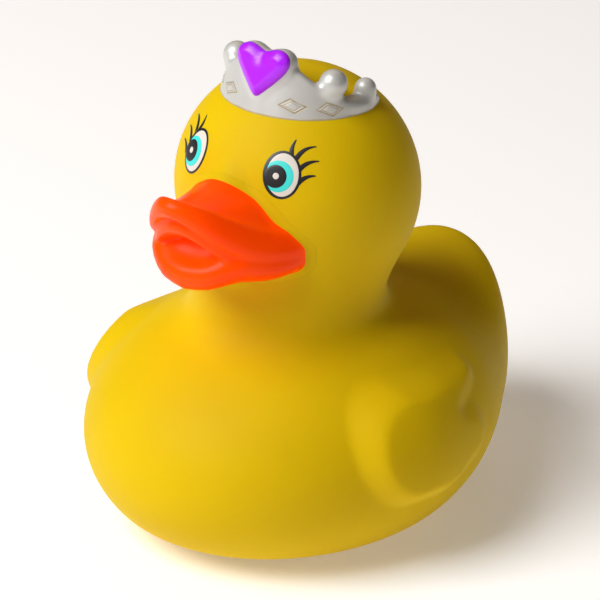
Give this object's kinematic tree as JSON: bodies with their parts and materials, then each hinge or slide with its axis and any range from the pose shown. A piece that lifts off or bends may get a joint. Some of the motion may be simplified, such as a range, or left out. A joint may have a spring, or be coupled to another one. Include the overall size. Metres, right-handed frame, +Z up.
{
  "type": "rubber duck",
  "caption": "Hollow soft vinyl bath duck with a tiara, raised wings, an open bill and a flat base, and a squeaker in the base.",
  "frame": {"origin": "middle of the duck's width and length, at the height of its flat base", "axes": "-Y is the way the duck faces, +Z is up, +X is the duck's left side"},
  "size_m": [0.0736, 0.0878, 0.0871],
  "materials": {
    "soft_vinyl": "satin moulded vinyl, with glossy painted bill, tiara, heart and printed eyes",
    "white_polythene": "plain moulded",
    "grey_styrene": "plain moulded",
    "reed_brass": "rolled strip"
  },
  "bodies": {
    "root": {"duck_shell": "soft_vinyl", "squeaker_housing": "white_polythene", "squeaker_reed_block": "grey_styrene", "squeaker_reed": "reed_brass"}
  },
  "joints": []
}
